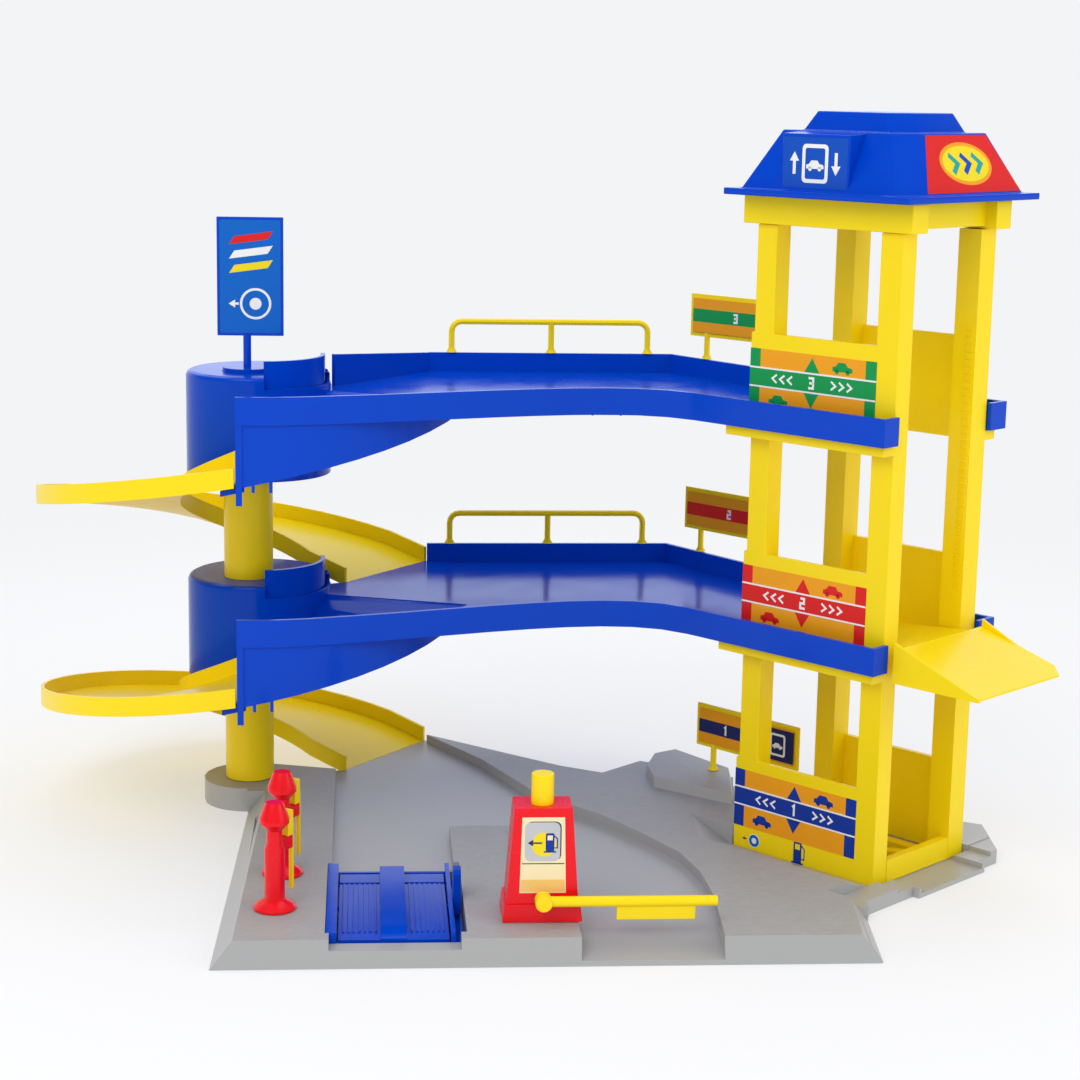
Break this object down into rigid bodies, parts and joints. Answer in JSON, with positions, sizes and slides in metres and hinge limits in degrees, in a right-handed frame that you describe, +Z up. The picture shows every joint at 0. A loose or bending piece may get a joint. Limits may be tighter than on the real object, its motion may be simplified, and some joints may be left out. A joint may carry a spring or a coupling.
{
  "type": "toy parking garage",
  "caption": "Toy parking garage: upper decks joined by a spiral ramp round a column, a lift in a roofed tower, a barrier booth, fuel pumps and a tilting platform on a grey base.",
  "frame": {"origin": "centre of the footprint box on the surface the garage stands on", "axes": "+X to the right along the front edge of the base, towards the lift tower; -Y towards the player; +Z up"},
  "size_m": [0.5608, 0.4104, 0.4103],
  "materials": {
    "yellow": "satin moulded",
    "blue": "gloss moulded",
    "red": "gloss moulded",
    "grey": "satin moulded, fine stone texture"
  },
  "bodies": {
    "garage": {"base_plate": "grey", "column_lower": "yellow", "column_upper": "yellow", "ramp_lower": "yellow", "ramp_upper": "yellow", "deck_level_2": "blue", "deck_level_3": "blue", "railing_level_2": "yellow", "railing_level_3": "yellow", "level_1_sign": "yellow", "level_2_sign": "yellow", "level_3_sign": "yellow", "parking_sign": "blue", "tower_frame_front": "yellow", "tower_frame_back": "yellow", "tower_floor": "yellow", "tower_crown": "yellow", "roof": "blue", "booth_body": "red", "fuel_pump_front": "red", "fuel_pump_rear": "red", "fuel_hose_front": "yellow", "fuel_hose_rear": "yellow", "tilt_frame": "blue"},
    "lift": {"lift_platform": "yellow"},
    "barrier": {"barrier_arm": "yellow"},
    "button": {"barrier_button": "yellow"},
    "tilting platform": {"tilt_plate": "blue"}
  },
  "joints": [
    {"name": "lift_slide", "type": "slide", "parent": "garage", "child": "lift", "axis": [0, 0, 1], "range_m": [-0.112, 0.121]},
    {"name": "barrier_pivot", "type": "hinge", "parent": "garage", "child": "barrier", "pos_m": [-0.00099, -0.18254, 0.0268], "axis": [0, -1, 0], "range_deg": [0, 75]},
    {"name": "button_press", "type": "slide", "parent": "garage", "child": "button", "axis": [0, 0, 1], "range_m": [-0.006, 0]},
    {"name": "platform_tilt", "type": "hinge", "parent": "garage", "child": "tilting platform", "pos_m": [-0.10899, -0.14174, 0.0078], "axis": [1, 0, 0], "range_deg": [-5, 5]}
  ],
  "couplings": [
    {"joint": "button_press", "follows": "barrier_pivot", "m_per_rad": -0.004507}
  ]
}
